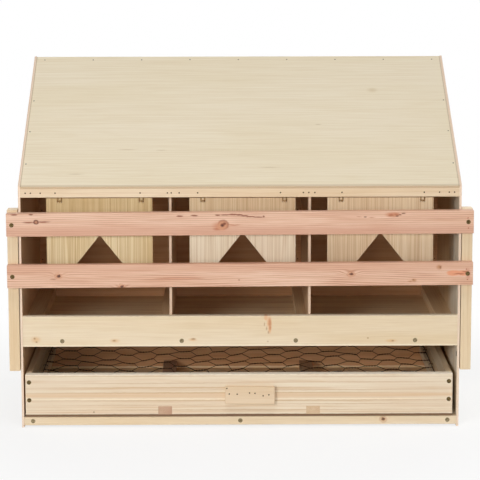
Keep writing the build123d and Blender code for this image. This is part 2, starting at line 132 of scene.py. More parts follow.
# noise stays near its middle, so these levels of it count as none and full
cloudSpread = (0.36, 0.66)
patchSpread = (0.35, 0.65)
streakSpread = (0.44, 0.7)
fibreSpread = (0.2, 0.8)
blotchSpread = (0.3, 0.7)
fibreGreys = [greyStop(0.25, 0.18), greyStop(0.75, 0.82)]


# Softwood, planed: pale early wood, darker late wood lines that follow the log's rings, fine fibres, knots.
def planedPine(name, board):
    finish, tree = newFinish(name)
    axis = board["grain"]
    cut = board["cut"]
    place = addNode(tree, "TexCoord").outputs["Object"]
    bend = grainPattern(tree, place, axis, board["bendSize"], cut, 2.0)
    amount = board["bend"] * mm
    swing = addNode(tree, "VectorMath", {"operation": "MULTIPLY_ADD"}, {
        0: bend.outputs["Color"], 1: (amount,) * 3, 2: (-amount / 2,) * 3})
    bent = addNode(tree, "VectorMath", {"operation": "ADD"}, {0: place, 1: swing})
    ragged = grainPattern(tree, place, axis, board["raggedSize"], cut, 2.0)
    tear = board["ragged"] * mm
    rough = addNode(tree, "VectorMath", {"operation": "MULTIPLY_ADD"}, {
        0: ragged.outputs["Color"], 1: (tear,) * 3, 2: (-tear / 2,) * 3})
    spotPlace = addNode(tree, "VectorMath", {"operation": "ADD"}, {0: place, 1: rough})

    # the log's rings, as they cut the board
    mask = [1.0, 1.0, 1.0]
    mask[axis] = 0.0
    pith = [-p * mm * m for p, m in zip(board["pith"], mask)]
    section = addNode(tree, "VectorMath", {"operation": "MULTIPLY_ADD"}, {0: bent, 1: mask, 2: pith})
    radius = addNode(tree, "VectorMath", {"operation": "LENGTH"}, {0: section}).outputs["Value"]
    rings = addNode(tree, "Math", {"operation": "MULTIPLY"}, {0: radius, 1: 1000 / board["ringGap"]})
    knotRange = None
    if board["knots"]:
        knotPlace = addNode(tree, "VectorMath", {"operation": "MULTIPLY_ADD"}, {
            0: rough, 1: (board["knotTear"],) * 3, 2: place})
        knotRange = nearestSpot(tree, knotPlace, board["knots"], board["face"])
        eyeLong, eyeTall = board["knotEye"]  # the grain parts round a knot
        eyes = [(x, z, eyeLong * long, eyeTall * tall) for x, z, long, tall in board["knots"]]
        lift = addNode(tree, "MapRange", {"interpolation_type": "SMOOTHSTEP"}, {
            "Value": nearestSpot(tree, bent, eyes, board["face"]),
            "To Min": board["knotLift"], "To Max": 0.0})
        rings = addNode(tree, "Math", {"operation": "ADD"}, {0: rings, 1: lift.outputs[0]})
    ringStep = addNode(tree, "Math", {"operation": "FRACT"}, {0: rings})
    ringLine = addNode(tree, "ValToRGB", {}, {"Fac": ringStep}, [
        greyStop(0.0, 0.0), greyStop(0.45, 0.1), greyStop(0.8, 1.0), greyStop(0.9, 0.8), greyStop(1.0, 0.0)])

    cloud = grainPattern(tree, bent, axis, board["cloudSize"], cut[::-1], 3.0, 0.6)
    cloudAmount = addNode(tree, "MapRange", {}, {
        "Value": cloud.outputs[0], "From Min": cloudSpread[0], "From Max": cloudSpread[1]})
    ground = addNode(tree, "Mix", {"data_type": "RGBA"}, {
        0: cloudAmount.outputs[0], 6: hexColour(board["pale"]), 7: hexColour(board["warm"])}).outputs[2]
    patch = grainPattern(tree, bent, axis, board["patchSize"], cut, 2.0)  # where ring lines come and go
    ringShown = addNode(tree, "MapRange", {}, {
        "Value": patch.outputs[0], "From Min": patchSpread[0], "From Max": patchSpread[1],
        "To Min": board["ringLeast"] * board["ringDepth"], "To Max": board["ringDepth"]})
    ringAmount = addNode(tree, "Math", {"operation": "MULTIPLY"}, {
        0: ringLine.outputs[0], 1: ringShown.outputs[0]})
    ringed = addNode(tree, "Mix", {"data_type": "RGBA"}, {
        0: ringAmount, 6: ground, 7: hexColour(board["late"])}).outputs[2]

    # real fibres are near 0.05 mm wide: drawn over twenty times coarser, or nothing would show
    fibre = grainPattern(tree, bent, axis, board["fibreSize"], cut, 4.0, 0.65)
    fibreGrey = addNode(tree, "ValToRGB", {}, {"Fac": fibre.outputs[0]}, fibreGreys)
    wood = addNode(tree, "Mix", {"data_type": "RGBA", "blend_type": "SOFT_LIGHT"}, {
        0: board["fibreDepth"], 6: ringed, 7: fibreGrey.outputs[0]}).outputs[2]
    colour = layMarks(tree, wood, spotPlace, board, "MIX")  # resin streaks, checks, stains, and painted light and shade
    if knotRange:
        heart, body, halo = (hexColour(board[tone])[:3] for tone in ("knotHeart", "knotBody", "knotHalo"))
        knotReach = addNode(tree, "Math", {"operation": "DIVIDE"}, {0: knotRange, 1: board["knotReach"]})
        knot = addNode(tree, "ValToRGB", {}, {"Fac": knotReach}, [
            (0.0, (*heart, 1.0)), (0.2, (*heart, 0.95)), (0.36, (*body, 0.9)), (0.48, (*halo, 0.55)),
            (0.66, (*halo, 0.4)), (0.76, (*body, 0.3)), (0.86, (*halo, 0.3)), (1.0, (*halo, 0.0))])
        colour = addNode(tree, "Mix", {"data_type": "RGBA"}, {
            0: knot.outputs["Alpha"], 6: colour, 7: knot.outputs["Color"]}).outputs[2]

    smoothest, roughest = board["roughness"]
    roughness = addNode(tree, "MapRange", {}, {
        "Value": fibre.outputs[0], "From Min": fibreSpread[0], "From Max": fibreSpread[1],
        "To Min": smoothest, "To Max": roughest})
    relief = addNode(tree, "Math", {"operation": "MULTIPLY_ADD"}, {
        0: ringLine.outputs[0], 1: board["ringRelief"], 2: fibre.outputs[0]})
    bump = addNode(tree, "Bump", {}, {
        "Strength": board["bump"], "Distance": board["bumpDeep"] * mm, "Height": relief})
    shader = addNode(tree, "BsdfPrincipled", {}, {
        "Base Color": colour, "Roughness": roughness.outputs[0], "IOR": 1.5, "Normal": bump})
    addNode(tree, "OutputMaterial", {}, {"Surface": shader})
    return finish


# Plywood, sanded: rotary cut face veneer with long wavering streaks, plies in turn on the cut edges.
def rotaryPlywood(name, panel):
    finish, tree = newFinish(name)
    axis = panel["grain"]
    cut = panel["cut"]
    coords = addNode(tree, "TexCoord")
    place = coords.outputs["Object"]
    figure = grainPattern(tree, place, axis, panel["figureSize"], cut, 1.5)
    layers = addNode(tree, "Math", {"operation": "MULTIPLY"}, {0: figure.outputs[0], 1: panel["figureLines"]})
    layerStep = addNode(tree, "Math", {"operation": "FRACT"}, {0: layers})
    layerLine = addNode(tree, "ValToRGB", {}, {"Fac": layerStep}, [
        greyStop(0.0, 0.0), greyStop(0.55, 0.12), greyStop(0.85, 1.0), greyStop(1.0, 0.0)])
    streak = grainPattern(tree, place, axis, panel["streakSize"], cut[::-1], 4.0, 0.62)
    streakAmount = addNode(tree, "MapRange", {}, {
        "Value": streak.outputs[0], "From Min": streakSpread[0], "From Max": streakSpread[1]})
    cloud = grainPattern(tree, place, axis, panel["cloudSize"], cut, 3.0)
    cloudAmount = addNode(tree, "MapRange", {}, {
        "Value": cloud.outputs[0], "From Min": cloudSpread[0], "From Max": cloudSpread[1]})
    ground = addNode(tree, "Mix", {"data_type": "RGBA"}, {
        0: cloudAmount.outputs[0], 6: hexColour(panel["pale"]), 7: hexColour(panel["warm"])}).outputs[2]
    lineAmount = addNode(tree, "Math", {"operation": "MULTIPLY"}, {
        0: layerLine.outputs[0], 1: panel["figureDepth"]})
    lined = addNode(tree, "Mix", {"data_type": "RGBA"}, {
        0: lineAmount, 6: ground, 7: hexColour(panel["late"])}).outputs[2]
    streakDepth = addNode(tree, "Math", {"operation": "MULTIPLY"}, {
        0: streakAmount.outputs[0], 1: panel["streakDepth"]})
    streaked = addNode(tree, "Mix", {"data_type": "RGBA"}, {
        0: streakDepth, 6: lined, 7: hexColour(panel["streakTone"])}).outputs[2]
    # veneer fibres too are drawn over twenty times coarser than life, so that they show
    fibre = grainPattern(tree, place, axis, panel["fibreSize"], cut, 4.0, 0.65)
    fibreGrey = addNode(tree, "ValToRGB", {}, {"Fac": fibre.outputs[0]}, fibreGreys)
    bare = addNode(tree, "Mix", {"data_type": "RGBA", "blend_type": "SOFT_LIGHT"}, {
        0: panel["fibreDepth"], 6: streaked, 7: fibreGrey.outputs[0]}).outputs[2]
    veneer = layMarks(tree, bare, place, panel, "MULTIPLY")  # edge bands, flecks, brad heads, and painted shade
    if panel["inside"]:  # painted shade: the face turned to the nests is tinted browner, more so towards the back, for the shade inside them
        towards = addNode(tree, "VectorMath", {"operation": "DOT_PRODUCT"}, {
            0: coords.outputs["Normal"], 1: panel["inside"]}).outputs["Value"]
        inner = addNode(tree, "Math", {"operation": "GREATER_THAN"}, {0: towards, 1: panel["squareOn"]})
        back = addNode(tree, "SeparateXYZ", {}, {"Vector": place}).outputs["Y"]
        shadeRamp = addNode(tree, "MapRange", {"interpolation_type": "SMOOTHSTEP"}, {
            "Value": back, "From Min": panel["shadeFrom"] * mm, "From Max": panel["shadeTo"] * mm})
        shadeAmount = addNode(tree, "Math", {"operation": "MULTIPLY"}, {0: inner, 1: shadeRamp.outputs[0]})
        veneer = addNode(tree, "Mix", {"data_type": "RGBA", "blend_type": "MULTIPLY"}, {
            0: shadeAmount, 6: veneer, 7: hexColour(panel["shadeTint"])}).outputs[2]

    # the cut edges: plies of long and end grain in turn, with a thin glue line between them
    depth = addNode(tree, "VectorMath", {"operation": "DOT_PRODUCT"}, {
        0: place, 1: panel["normal"]}).outputs["Value"]
    plyCount = addNode(tree, "Math", {"operation": "MULTIPLY_ADD"}, {
        0: depth, 1: 1000 / panel["ply"], 2: -panel["start"] / panel["ply"]})
    plyTurn = addNode(tree, "Math", {"operation": "PINGPONG"}, {0: plyCount, 1: 1.0})
    plyTone = addNode(tree, "ValToRGB", {}, {"Fac": plyTurn}, [
        (0.40, hexColour(panel["longPly"])), (0.48, hexColour(panel["glue"])),
        (0.60, hexColour(panel["endPly"]))])
    sawn = grainPattern(tree, place, axis, panel["sawSize"], (0.0, 0.0, 0.0), 3.0)
    edge = addNode(tree, "Mix", {"data_type": "RGBA", "blend_type": "SOFT_LIGHT"}, {
        0: panel["sawDepth"], 6: plyTone.outputs[0], 7: sawn.outputs["Color"]}).outputs[2]
    facing = addNode(tree, "VectorMath", {"operation": "DOT_PRODUCT"}, {
        0: coords.outputs["Normal"], 1: panel["normal"]}).outputs["Value"]
    facingSize = addNode(tree, "Math", {"operation": "ABSOLUTE"}, {0: facing})
    onFace = addNode(tree, "Math", {"operation": "GREATER_THAN"}, {0: facingSize, 1: panel["squareOn"]})
    colour = addNode(tree, "Mix", {"data_type": "RGBA"}, {0: onFace, 6: edge, 7: veneer}).outputs[2]

    smoothest, roughest = panel["roughness"]
    roughness = addNode(tree, "MapRange", {}, {
        "Value": fibre.outputs[0], "From Min": fibreSpread[0], "From Max": fibreSpread[1],
        "To Min": smoothest, "To Max": roughest})
    relief = addNode(tree, "Math", {"operation": "MULTIPLY_ADD"}, {
        0: streak.outputs[0], 1: panel["streakRelief"], 2: fibre.outputs[0]})
    bump = addNode(tree, "Bump", {}, {
        "Strength": panel["bump"], "Distance": panel["bumpDeep"] * mm, "Height": relief})
    shader = addNode(tree, "BsdfPrincipled", {}, {
        "Base Color": colour, "Roughness": roughness.outputs[0], "IOR": 1.5, "Normal": bump})
    addNode(tree, "OutputMaterial", {}, {"Surface": shader})
    return finish


# Steel, plated or drawn: dulled by damp air, with darker blotches in the hollows.
def dulledSteel(name, metal):
    finish, tree = newFinish(name)
    place = addNode(tree, "TexCoord").outputs["Object"]
    blotchMap = addNode(tree, "Mapping", {}, {"Vector": place, "Scale": (1000 / metal["blotch"],) * 3})
    blotch = addNode(tree, "TexNoise", {}, {
        "Vector": blotchMap, "Scale": 1.0, "Detail": 4.0, "Roughness": 0.6})
    tone = addNode(tree, "ValToRGB", {}, {"Fac": blotch.outputs[0]}, [
        (0.32, hexColour(metal["bright"])), (0.5, hexColour(metal["dull"])), (0.7, hexColour(metal["rust"]))])
    smoothest, roughest = metal["roughness"]
    roughness = addNode(tree, "MapRange", {}, {
        "Value": blotch.outputs[0], "From Min": blotchSpread[0], "From Max": blotchSpread[1],
        "To Min": smoothest, "To Max": roughest})
    bump = addNode(tree, "Bump", {}, {
        "Strength": metal["bump"], "Distance": metal["bumpDeep"] * mm, "Height": blotch.outputs[0]})
    shader = addNode(tree, "BsdfPrincipled", {}, {
        "Base Color": tone.outputs[0], "Metallic": metal["metallic"], "Roughness": roughness.outputs[0],
        "Normal": bump})
    addNode(tree, "OutputMaterial", {}, {"Surface": shader})
    return finish


def dress(finish, *names):
    for name in names:
        mesh = nodes[name].data
        mesh.materials.clear()
        mesh.materials.append(finish)


# plywood panels; sizes are length along the grain and width across it, in mm
endless = 3000.0  # half length of a band that runs the whole board
plySheet = {
    "grain": 2, "face": (0, 2), "cut": (0.3, 1.7, 2.9),
    "normal": (1.0, 0.0, 0.0), "ply": 1.5, "start": -441.0,
    "figureSize": (520.0, 60.0), "figureLines": 7.0, "figureDepth": 0.25, "cloudSize": (380.0, 120.0),
    "streakSize": (700.0, 10.0), "streakDepth": 0.5, "fibreSize": (110.0, 1.5), "fibreDepth": 0.5,
    "pale": "#e6d7b8", "warm": "#dfcda8", "late": "#cfb282", "streakTone": "#c9a878",
    "longPly": "#f0ddc8", "glue": "#b8967a", "endPly": "#e2c6ac",
    "sawSize": (1000 / 700, 1000 / 700), "sawDepth": 0.35,  # 700 saw marks to the metre
    # inside and its tint paint shade on the face turned to the nests, growing between the two depths given
    "inside": None, "shadeTint": "#ffe4d5", "shadeFrom": -130.0, "shadeTo": 40.0, "marks": [],
    "roughness": (0.52, 0.75), "streakRelief": 0.5, "bump": 0.25, "bumpDeep": 0.2,
    "squareOn": 0.8,  # how square to a direction a face has to be to count as turned to it
}
roofRise = 224.0
roofDepth = 440.0
roofSlope = math.hypot(roofRise, roofDepth)
roofNormal = (0.0, -roofRise / roofSlope, roofDepth / roofSlope)
roofLeft, roofRight = (corner.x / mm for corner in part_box("roof_panel"))
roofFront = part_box("roof_panel")[0].y / mm
roofFlecks = [
    (164.0, 200.0, 10.0, 2.6), (-230.0, 118.0, 26.0, 2.2), (-160.0, 116.0, 16.0, 2.0),
    (60.0, 60.0, 30.0, 2.0), (-330.0, 40.0, 24.0, 2.4)]
roofMarks = [
    stainOrPaintedLight("#e9e3dd", 1.0, 0.3, (0.0, roofFront + 2.0, endless, 6.0)),  # worn front edge
    stainOrPaintedLight("#b09a84", 0.5, 0.4, (roofLeft, 0.0, 2.4, endless), (roofRight, 0.0, 3.0, endless)),  # painted shade in the gaps at the side joints
    stainOrPaintedLight("#e4dccf", 0.9, 0.1, *((x, roofFront + up, long, tall) for x, up, long, tall in roofFlecks)),
    stainOrPaintedLight("#efe9de", 0.9, 0.1, (284.0, roofFront + 318.0, 15.0, 12.0)),  # a smudge
]
roofLook = dict(
    plySheet, grain=0, face=(0, 1), normal=roofNormal, start=0.0, cut=(4.1, 0.2, 1.3), marks=roofMarks,
    pale="#ecdfc6", warm="#e9dbbf", late="#dbc8a5", streakTone="#dac8a4", streakSize=(240.0, 4.0),
    streakDepth=0.4, figureDepth=0.1, longPly="#dcc6a8", glue="#a88660", endPly="#c8ac8a")
dress(rotaryPlywood("sandedPlywoodRoof", roofLook), "roof_panel")

# brad heads show on the outsides, over the boards that they hold
bradHead = 1.7
bradDots = ("#7a6a58", 0.9, 0.6)
sideBrads = [(-202.0, z) for z in (13.0, 185.0, 214.0, 484.0)]
sideBrads += [(217.0, z) for z in (12.0, 120.0, 280.0, 440.0, 600.0)]
sideBrads += [(y, z) for y in (-90.0, 0.0, 90.0) for z in (11.0, 180.0)]
sideBrads += [(y, 482.0 + (y - roofFront) * roofRise / roofDepth) for y in (-120.0, -20.0, 80.0, 180.0)]
sideMarks = [stainOrPaintedLight(*bradDots, *((y, z, bradHead, bradHead) for y, z in sideBrads))]
# painted shade on the inner faces; the right panel's paler veneer and the later start of its tint paint the
# light that falls on its inner face near the front
sideInner = {
    "left_side_panel": {"inside": (1.0, 0.0, 0.0), "shadeFrom": -300.0, "shadeTo": -220.0},
    "right_side_panel": {
        "inside": (-1.0, 0.0, 0.0), "shadeTint": "#ead2b4", "shadeFrom": -110.0, "shadeTo": 10.0,
        "pale": "#f4ebd9", "warm": "#efe3cb"},
}
for name, inner in sideInner.items():
    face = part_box(name)[0].x / mm
    sideLook = dict(plySheet, face=(1, 2), start=face, cut=(face * 0.01, 0.7, 2.2), marks=sideMarks, **inner)
    dress(rotaryPlywood("sandedPlywood_" + name, sideLook), name)
backBrads = [(x, z) for x in range(-400, 401, 100) for z in (13.0, 178.0, 703.0)]
backBrads += [(x, z) for x in (-433.0, -150.0, 130.0, 433.0) for z in (90.0, 270.0, 380.0, 490.0, 600.0)]
# painted shade: the back panel's face turned to the nests is tinted browner
backLook = dict(
    plySheet, grain=0, normal=(0.0, 1.0, 0.0), start=0.0, cut=(5.2, 1.1, 0.4), inside=(0.0, -1.0, 0.0),
    shadeTint="#f4c9ab", shadeFrom=-300.0, shadeTo=-220.0,
    marks=[stainOrPaintedLight(*bradDots, *((x, z, bradHead, bradHead) for x, z in backBrads))])
dress(rotaryPlywood("sandedPlywoodBack", backLook), "back_panel")

# painted shade: the sheets inside get a redder copy of the veneer, which paints the brown of the shaded nests
shadedRedSheet = dict(
    plySheet, pale="#e7c49e", warm="#ddb58c", late="#c4976a", streakTone="#bd8c60", longPly="#e8d0b8",
    endPly="#dabb9e")
for name in ("left_divider", "right_divider"):
    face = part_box(name)[0].x / mm
    dividerLook = dict(shadedRedSheet, start=face, cut=(face * 0.01, 0.7, 2.2))
    dress(rotaryPlywood("redPlywood_" + name, dividerLook), name)
# painted light: the floors get paler veneers than the sheets round them, to brighten them
brightenedNestFloorLook = dict(
    shadedRedSheet, grain=0, normal=(0.0, 0.0, 1.0), start=0.0, cut=(2.2, 3.1, 0.4), pale="#fae0b8", warm="#f2d3a8")
dress(rotaryPlywood("redPlywoodFloor", brightenedNestFloorLook), "nest_floor")
brightenedDrawerFloorLook = dict(
    brightenedNestFloorLook, pale="#ffedc8", warm="#fbe3b8", longPly="#7c5e44", glue="#5a4230", endPly="#6e5038")
dress(rotaryPlywood("redPlywoodDrawerFloor", brightenedDrawerFloorLook), "drawer_floor")  # its pale face is painted light, its edges are darker

# flaps: straight close grain, each from another sheet; a band of painted shade under the roof strip darkens
# the top of the left and middle flaps, and the right flap is darker low down
flapTones = {
    "left_flap": {
        "cut": (0.9, 0.4, 1.1),
        "pale": "#dfcca4", "warm": "#d6be90", "late": "#c0a06c", "streakTone": "#b9955f",
        "marks": [stainOrPaintedLight("#f1ece2", 1.0, 0.6, (0.0, 462.0, endless, 60.0))]},
    "middle_flap": {
        "cut": (3.3, 2.4, 0.6),
        "pale": "#e5d6bc", "warm": "#dfcab0", "late": "#c8ab88", "streakTone": "#c4a580",
        "marks": [stainOrPaintedLight("#eee2d0", 1.0, 0.6, (0.0, 462.0, endless, 60.0))]},
    "right_flap": {
        "cut": (7.1, 1.9, 5.3),
        "pale": "#e4cdaa", "warm": "#dbbf9a", "late": "#c29f78", "streakTone": "#b9926a",
        "marks": [stainOrPaintedLight("#f0eeee", 1.0, 0.6, (0.0, 300.0, endless, 110.0))]},
}
for name, tones in flapTones.items():
    flapLook = dict(
        plySheet, normal=(0.0, 1.0, 0.0), start=0.0, ply=1.7, streakSize=(700.0, 2.6),
        figureSize=(2500.0, 50.0), figureLines=30.0, figureDepth=0.45, fibreSize=(260.0, 2.2), fibreDepth=0.9,
        **tones)
    dress(rotaryPlywood("sandedPlywood_" + name, flapLook), name)
print("plywood dressed")

# planed boards of pale pine; the pith is where the log's middle would lie, in mm
paleBoard = {
    "grain": 0, "face": (0, 2), "cut": (1.3, 0.6, 2.8), "pith": (0.0, 60.0, 150.0),
    "ringGap": 5.0, "ringDepth": 0.35, "ringLeast": 0.15, "patchSize": (160.0, 9.0),
    "bend": 9.0, "bendSize": (420.0, 160.0), "ragged": 2.0, "raggedSize": (12.0, 5.0),
    "cloudSize": (420.0, 40.0), "fibreSize": (90.0, 1.3), "fibreDepth": 0.4,
    "pale": "#e4d2b6", "warm": "#dfc9a7", "late": "#d1b48a",
    "knots": [], "knotEye": (9.0, 4.0), "knotLift": 1.5, "knotTear": 3.0, "knotReach": 3.0,
    "knotHeart": "#5b3a22", "knotBody": "#8a5a36", "knotHalo": "#c08a58", "marks": [],
    "roughness": (0.5, 0.72), "ringRelief": 0.35, "bump": 0.3, "bumpDeep": 0.25,
}
boards = {
    "nest_front_board": {
        "cut": (0.4, 2.6, 1.1), "pith": (0.0, -25.0, 330.0), "ringDepth": 0.15,
        "pale": "#e1cfb2", "warm": "#dbc5a2",
        "marks": [
            stainOrPaintedLight("#efdfc4", 0.7, 0.4, (0.0, 168.5, endless, 3.5)),  # rubbed edges
            stainOrPaintedLight("#f6e8ce", 0.8, 0.7, (0.0, 230.5, endless, 2.0)),
            stainOrPaintedLight("#d3a872", 0.65, 0.1, (-252.9, 179.0, 14.0, 6.0), (-412.2, 181.6, 14.0, 10.0),  # pin knots
                  (304.3, 177.5, 17.0, 5.0), (-96.0, 181.0, 12.0, 5.0)),
            stainOrPaintedLight("#9c6f46", 0.75, 0.1, (-94.5, 182.4, 7.0, 2.8), (-415.0, 184.0, 3.2, 3.2),
                  (-411.0, 177.0, 3.2, 2.6), (-254.0, 179.0, 5.0, 2.8), (308.0, 177.5, 4.0, 2.6),
                  (258.0, 183.5, 3.0, 2.4)),
            stainOrPaintedLight("#dbab80", 0.85, 0.3, (52.0, 226.0, 6.0, 9.0), (58.5, 217.0, 7.0, 17.0),  # a resin pocket
                  (59.5, 203.0, 5.0, 14.0)),
            stainOrPaintedLight("#c1845a", 0.85, 0.3, (59.8, 215.0, 4.2, 13.0), (60.0, 205.0, 3.2, 8.0)),
            stainOrPaintedLight("#a98060", 0.65, 0.1, (49.0, 212.5, 2.2, 6.0), (53.0, 203.5, 2.4, 6.0),
                  (57.0, 195.5, 2.6, 5.0), (55.6, 176.8, 2.6, 2.6))]},
    "drawer_front": {
        "cut": (2.2, 0.3, 0.9), "pith": (0.0, 20.0, 190.0), "ringDepth": 0.6, "ringGap": 6.0,
        "pale": "#e3d4bc", "warm": "#decab0", "late": "#cfae86",
        "marks": [
            stainOrPaintedLight("#d9b892", 0.6, 0.5, (-60.0, 66.5, 900.0, 7.5)),  # a band of heartwood
            stainOrPaintedLight("#f3e2c6", 0.8, 0.2, (-180.0, 58.5, 420.0, 1.8), (230.0, 58.0, 260.0, 1.6)),
            # lines of late wood
            stainOrPaintedLight("#c09a70", 0.55, 0.2, (-220.0, 106.0, 330.0, 1.8), (240.0, 104.0, 260.0, 1.5),
                  (-150.0, 91.4, 300.0, 1.6), (260.0, 93.0, 220.0, 1.4), (-90.0, 82.2, 460.0, 2.4),
                  (120.0, 77.0, 380.0, 1.4), (-60.0, 71.4, 640.0, 2.0), (30.0, 55.4, 700.0, 2.0),
                  (-200.0, 46.0, 240.0, 1.3), (210.0, 48.0, 260.0, 1.5), (-40.0, 36.0, 700.0, 1.8)),
            stainOrPaintedLight("#fbf0dc", 0.95, 0.7, (0.0, 110.8, endless, 2.2)),  # painted light on the top edge
            stainOrPaintedLight("#6e4c30", 0.6, 0.4, (0.0, 26.4, endless, 2.0)),  # dirt and painted shade along the bottom edge, over the gap to the rail
            stainOrPaintedLight("#6b4a2c", 0.8, 0.2, (-297.0, 32.0, 2.6, 2.2))]},
    "roof_front_strip": {
        "cut": (3.9, 1.2, 4.1), "pith": (0.0, 30.0, 620.0),
        "pale": "#dfc9ab", "warm": "#d9be9b", "late": "#c6a37c"},
    "bottom_front_rail": {
        "cut": (5.5, 0.6, 2.1), "pith": (0.0, 90.0, -80.0), "knots": [(290.1, 14.7, 3.2, 2.8)],
        "marks": [stainOrPaintedLight("#5a4028", 0.38, 0.6, (0.0, 22.2, endless, 1.4))]},  # painted shade along the top edge, under the drawer front
}
for name, look in boards.items():
    dress(planedPine("planedPine_" + name, dict(paleBoard, **look)), name)
uprightBoard = dict(paleBoard, grain=2, pith=(520.0, -120.0, 0.0), pale="#e0caa8", warm="#dabf99")
dress(planedPine("planedPineUpright", uprightBoard), "left_perch_arm", "right_perch_arm")
deepBoard = dict(paleBoard, grain=1, face=(1, 2), pith=(300.0, 0.0, 260.0))
dress(planedPine("planedPineDeep", deepBoard),
      "left_drawer_side", "right_drawer_side", "left_net_ledge", "right_net_ledge", "left_runner",
      "centre_runner", "right_runner", "left_roof_batten", "right_roof_batten", "floor_bearer_1",
      "floor_bearer_2", "floor_bearer_3", "floor_bearer_4")
cleatLook = dict(deepBoard, pale="#ecd0a8", warm="#dfbd92", late="#c49a6c")
dress(planedPine("planedRedPineCleat", cleatLook),
      "left_floor_cleat", "right_floor_cleat", "left_divider_cleat", "right_divider_cleat")
battenTones = {"left_drawer_batten": ("#c1a084", "#b79278"), "right_drawer_batten": ("#d1b694", "#c7a886")}
for name, (pale, warm) in battenTones.items():
    battenLook = dict(deepBoard, pale=pale, warm=warm, late="#a87a58", ringGap=3.0)
    dress(planedPine("planedPine_" + name, battenLook), name)
wideBoard = dict(paleBoard, cut=(6.1, 2.2, 0.7), pith=(0.0, 260.0, 20.0))
dress(planedPine("planedPineWide", wideBoard), "roof_back_batten", "back_floor_ledger", "bottom_back_rail",
      "front_net_ledge")
handleLook = dict(wideBoard, pale="#dfc9ac", warm="#d8bd9b")
dress(planedPine("planedPineHandle", handleLook), "drawer_handle")
paintedLightBand = stainOrPaintedLight("#ffe6bc", 0.9, 0.9, (0.0, 12.0, endless, 20.0))  # painted light: a pale band low on the drawer's back
# painted shade: a darker, redder pine for the shaded back of the drawer and its net ledge
shadedRedBoard = dict(wideBoard, pale="#e0ae7e", warm="#d09a68", late="#b0784a", marks=[paintedLightBand])
dress(planedPine("planedRedPine", shadedRedBoard), "drawer_back", "back_net_ledge")
print("pale boards dressed")

# sawn rails of pink heartwood: close dark rings, a rougher face, resin cracks
pinkRail = dict(
    paleBoard, pale="#dfbaa1", warm="#d1a387", late="#ae785a", ringDepth=0.9, ringGap=2.5, fibreDepth=0.75,
    ragged=3.2, knotHeart="#4f2a1a", knotBody="#86492c", knotHalo="#c98a62")
railBrad = 1.6
railBradDots = ("#a8563a", 0.9, 0.5)
upperRail = dict(
    pinkRail, cut=(1.9, 0.8, 3.2), pith=(0.0, -60.0, 560.0), ringDepth=0.7,
    marks=[
        stainOrPaintedLight("#c5937a", 0.65, 0.1, (0.0, 404.0, endless, 18.0)),  # darker along the bottom
        # cracks near the top edge
        stainOrPaintedLight("#7e4229", 0.9, 0.4, (-120.0, 435.9, 9.0, 2.0), (-91.0, 437.0, 10.0, 2.2),
              (-44.5, 438.0, 7.0, 1.7), (-28.0, 438.2, 14.0, 1.8), (-14.0, 439.0, 13.0, 2.3),
              (-2.0, 438.2, 10.0, 2.2), (9.0, 436.6, 10.0, 2.0), (21.0, 434.6, 13.0, 1.6),
              (35.0, 433.6, 14.0, 1.4), (47.0, 435.0, 3.0, 3.0), (-450.0, 439.6, 9.0, 2.2),
              (-416.0, 439.6, 6.0, 2.0)),
        # the big knot: halo and tail, a broken ring, a dark heart
        stainOrPaintedLight("#bd7550", 0.8, 0.1, (-39.0, 416.5, 22.0, 13.0)),
        stainOrPaintedLight("#ad6440", 0.7, 0.1, (-46.0, 409.5, 11.0, 4.0), (-14.0, 418.0, 22.0, 2.0)),
        stainOrPaintedLight("#9a5a3a", 0.75, 0.75, (-33.4, 418.8, 12.5, 11.5)),
        stainOrPaintedLight("#c88e6a", 0.85, 0.5, (-35.8, 416.4, 12.6, 11.0)),
        stainOrPaintedLight("#74391f", 0.95, 0.4, (-35.0, 417.6, 6.2, 5.0), (-31.5, 420.4, 4.2, 3.6)),
        stainOrPaintedLight("#43200f", 0.85, 0.2, (-35.4, 416.8, 3.8, 3.4)),
        # the eye knot: two long tails, a dark ring round a paler heart
        stainOrPaintedLight("#86482c", 0.9, 0.1, (-392.0, 424.9, 20.0, 3.0), (-421.0, 424.2, 18.0, 2.8)),
        stainOrPaintedLight("#6b3218", 0.9, 0.65, (-406.2, 424.5, 6.6, 5.6)),
        stainOrPaintedLight("#b98262", 0.8, 0.3, (-406.0, 424.6, 3.6, 3.0)),
        # a short crack with its stain
        stainOrPaintedLight("#6e3d26", 0.9, 0.3, (249.4, 433.5, 4.4, 1.9)),
        stainOrPaintedLight("#a8684a", 0.7, 0.1, (238.0, 434.0, 9.0, 1.0), (262.0, 432.5, 10.0, 1.0)),
        # a branch cut along its length
        stainOrPaintedLight("#bd7650", 0.8, 0.3, (305.0, 437.6, 21.0, 6.6)),
        stainOrPaintedLight("#a05c3a", 0.7, 0.2, (301.0, 437.0, 8.0, 4.0), (312.0, 438.6, 7.0, 2.4)),
        stainOrPaintedLight("#6a3b22", 0.9, 0.3, (313.0, 435.0, 5.0, 1.8), (319.0, 437.4, 4.6, 1.8),
              (325.5, 440.2, 5.6, 1.8)),
        stainOrPaintedLight(*railBradDots, (454.2, 430.9, railBrad, railBrad), (455.5, 410.7, railBrad, railBrad))])
